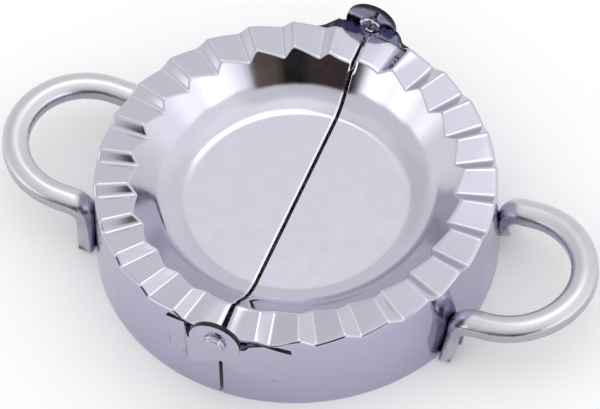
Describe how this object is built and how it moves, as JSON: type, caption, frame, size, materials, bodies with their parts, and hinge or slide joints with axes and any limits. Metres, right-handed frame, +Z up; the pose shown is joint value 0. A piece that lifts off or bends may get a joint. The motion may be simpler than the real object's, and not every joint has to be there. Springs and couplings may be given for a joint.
{
  "type": "empanada press",
  "caption": "Round stainless dough press: two fluted half bowls with a cutting wall fold together on riveted side hinges, with a pressed bail handle on each half.",
  "frame": {"origin": "centre of the press on the table plane, midway between the handles and between the rivets", "axes": "+X towards the right handle, +Y along the seam and hinge line to the back rivet, +Z up from the cutting edge; the press lies open as in the picture"},
  "size_m": [0.1468, 0.1028, 0.0289],
  "materials": {
    "shell_steel": "bright polished stainless sheet",
    "handle_steel": "satin to bright stainless, fine lengthwise polishing lines",
    "leaf_steel": "satin stainless sheet",
    "rivet_steel": "bright rivet with tumbled edges"
  },
  "bodies": {
    "left_half": {"left_shell": "shell_steel", "left_handle": "handle_steel", "front_left_leaf": "leaf_steel", "back_left_leaf": "leaf_steel"},
    "right_half": {"right_shell": "shell_steel", "right_handle": "handle_steel", "front_right_leaf": "leaf_steel", "back_right_leaf": "leaf_steel", "hinge_rivets": "rivet_steel"}
  },
  "joints": [
    {"name": "fold", "type": "hinge", "parent": "left_half", "child": "right_half", "pos_m": [0, 0, 0.02285], "axis": [0, -1, 0], "range_deg": [0, 180]}
  ]
}
